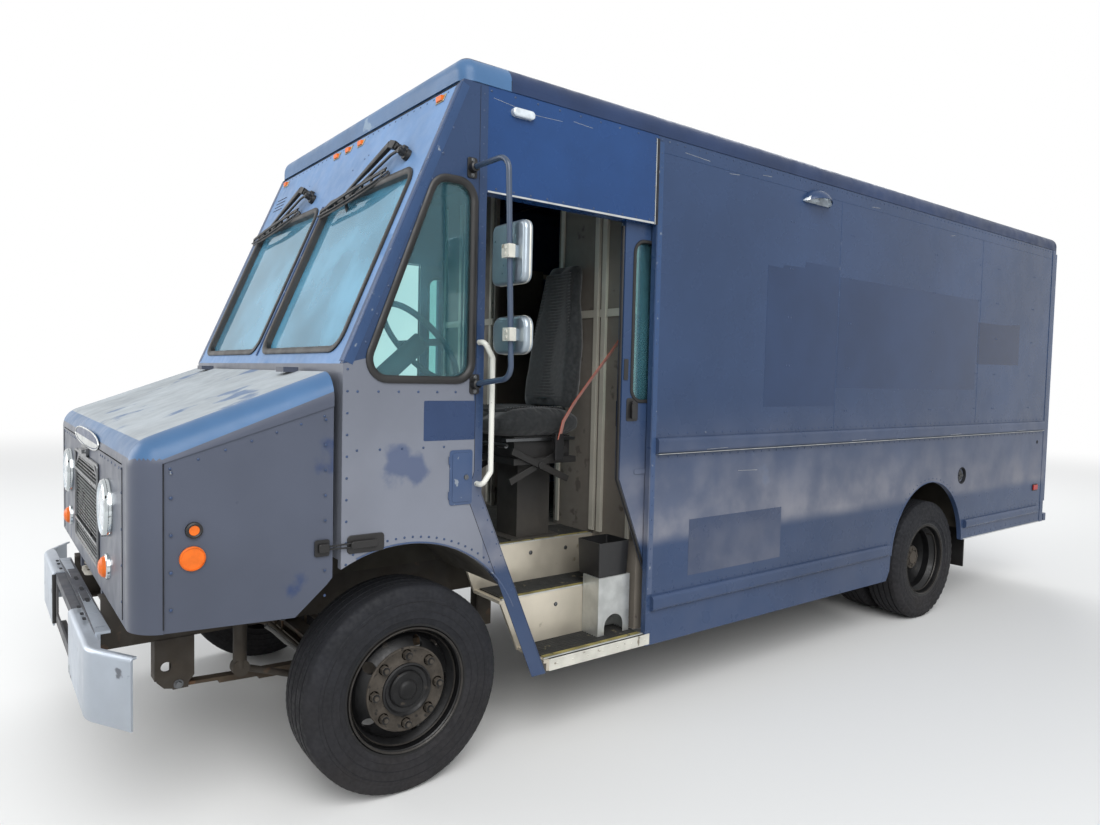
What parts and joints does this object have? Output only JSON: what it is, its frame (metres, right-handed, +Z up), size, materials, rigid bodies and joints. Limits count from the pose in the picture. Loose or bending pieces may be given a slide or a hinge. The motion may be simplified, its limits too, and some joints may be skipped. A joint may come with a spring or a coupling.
{
  "type": "walk-in step van",
  "caption": "Walk-in step van with tilting hood, sliding cab doors, dual rear wheels and a hollow load body: the base vehicle of a food truck.",
  "frame": {"origin": "on the ground at the middle of the van's length and width", "axes": "+Z up, the van faces -Y, +X is the driver's (left) side"},
  "size_m": [2.736, 7.13, 2.925],
  "materials": {
    "body_paint": "slate blue-grey gloss",
    "roof_paint": "faded paint",
    "chassis_black": "dusty black",
    "engine_grey": "dull grey",
    "spring_steel": "dusty dark steel",
    "tank_aluminium": "dull",
    "exhaust_steel": "heat-dulled",
    "bumper_steel": "worn silver paint",
    "glass": "pale green tint",
    "rubber_black": "matte",
    "inner_aluminium": "scuffed sheet",
    "floor_grey": "worn tread plate",
    "liner_black": "dusty black",
    "seat_black": "black",
    "seat_fabric": "dark grey cloth",
    "dash_plastic": "grained",
    "tube_steel": "grey",
    "mirror_chrome": "worn bright backs",
    "handle_white": "off-white",
    "wiper_black": "satin",
    "lamp_amber": "clear amber",
    "lamp_clear": "clear lens",
    "grille_bright": "bright bars",
    "tyre_black": "dusty black",
    "wheel_grey": "dusty dark grey"
  },
  "bodies": {
    "van": {"chassis_frame": "chassis_black", "engine_block": "engine_grey", "front_axle": "chassis_black", "sway_bar": "chassis_black", "leaf_springs": "spring_steel", "rear_axle": "chassis_black", "fuel_tank": "tank_aluminium", "exhaust": "exhaust_steel", "front_bumper": "bumper_steel", "cab_front": "body_paint", "cab_sides": "body_paint", "cab_glass": "glass", "window_rubbers": "rubber_black", "door_headers": "body_paint", "roof": "roof_paint", "roof_cap": "body_paint", "cargo_sides": "body_paint", "rub_rails": "body_paint", "inner_panels": "inner_aluminium", "rear_frame": "body_paint", "rear_door": "body_paint", "rear_step": "body_paint", "floor": "floor_grey", "wheel_boxes": "liner_black", "step_wells": "inner_aluminium", "seat_base": "seat_black", "seat_cushion": "seat_fabric", "seat_back": "seat_fabric", "dash": "dash_plastic", "steering_wheel": "dash_plastic", "mirror_arms": "tube_steel", "mirror_heads": "mirror_chrome", "grab_handles": "handle_white", "wipers": "wiper_black", "body_lamps": "lamp_amber", "mud_flaps": "rubber_black"},
    "hood": {"hood": "body_paint", "grille": "grille_bright", "headlamps": "lamp_clear", "turn_signals": "lamp_amber"},
    "door_left": {"door_left": "body_paint", "door_glass_left": "glass"},
    "door_right": {"door_right": "body_paint", "door_glass_right": "glass"},
    "knuckle_left": {"knuckle_left": "chassis_black"},
    "knuckle_right": {"knuckle_right": "chassis_black"},
    "tie_rod": {"tie_rod": "chassis_black"},
    "wheel_front_left": {"tyre_front_left": "tyre_black", "rim_front_left": "wheel_grey"},
    "wheel_front_right": {"tyre_front_right": "tyre_black", "rim_front_right": "wheel_grey"},
    "wheel_rear_left": {"tyre_rear_left": "tyre_black", "rim_rear_left": "wheel_grey"},
    "wheel_rear_right": {"tyre_rear_right": "tyre_black", "rim_rear_right": "wheel_grey"}
  },
  "joints": [
    {"name": "hood_tilt", "type": "hinge", "parent": "van", "child": "hood", "pos_m": [0, -3.435, 0.78], "axis": [1, 0, 0], "range_deg": [0, 60]},
    {"name": "slide_door_left", "type": "slide", "parent": "van", "child": "door_left", "axis": [0, -1, 0], "range_m": [0, 0.79]},
    {"name": "slide_door_right", "type": "slide", "parent": "van", "child": "door_right", "axis": [0, -1, 0], "range_m": [0, 0.79]},
    {"name": "steer_left", "type": "hinge", "parent": "van", "child": "knuckle_left", "pos_m": [0.8, -2.485, 0.419], "axis": [0, 0, 1], "range_deg": [-35, 35]},
    {"name": "steer_right", "type": "hinge", "parent": "van", "child": "knuckle_right", "pos_m": [-0.8, -2.485, 0.419], "axis": [0, 0, 1], "range_deg": [-35, 35]},
    {"name": "tie_rod_shift", "type": "slide", "parent": "van", "child": "tie_rod", "axis": [1, 0, 0], "range_m": [-0.1, 0.1]},
    {"name": "spin_front_left", "type": "hinge", "parent": "knuckle_left", "child": "wheel_front_left", "pos_m": [0.9, -2.485, 0.419], "axis": [1, 0, 0], "continuous": true},
    {"name": "spin_front_right", "type": "hinge", "parent": "knuckle_right", "child": "wheel_front_right", "pos_m": [-0.9, -2.485, 0.419], "axis": [1, 0, 0], "continuous": true},
    {"name": "spin_rear_left", "type": "hinge", "parent": "van", "child": "wheel_rear_left", "pos_m": [0.7655, 1.585, 0.419], "axis": [1, 0, 0], "continuous": true},
    {"name": "spin_rear_right", "type": "hinge", "parent": "van", "child": "wheel_rear_right", "pos_m": [-0.7655, 1.585, 0.419], "axis": [1, 0, 0], "continuous": true}
  ],
  "couplings": [
    {"joint": "steer_right", "follows": "steer_left", "ratio": 1},
    {"joint": "tie_rod_shift", "follows": "steer_left", "m_per_rad": -0.16}
  ]
}
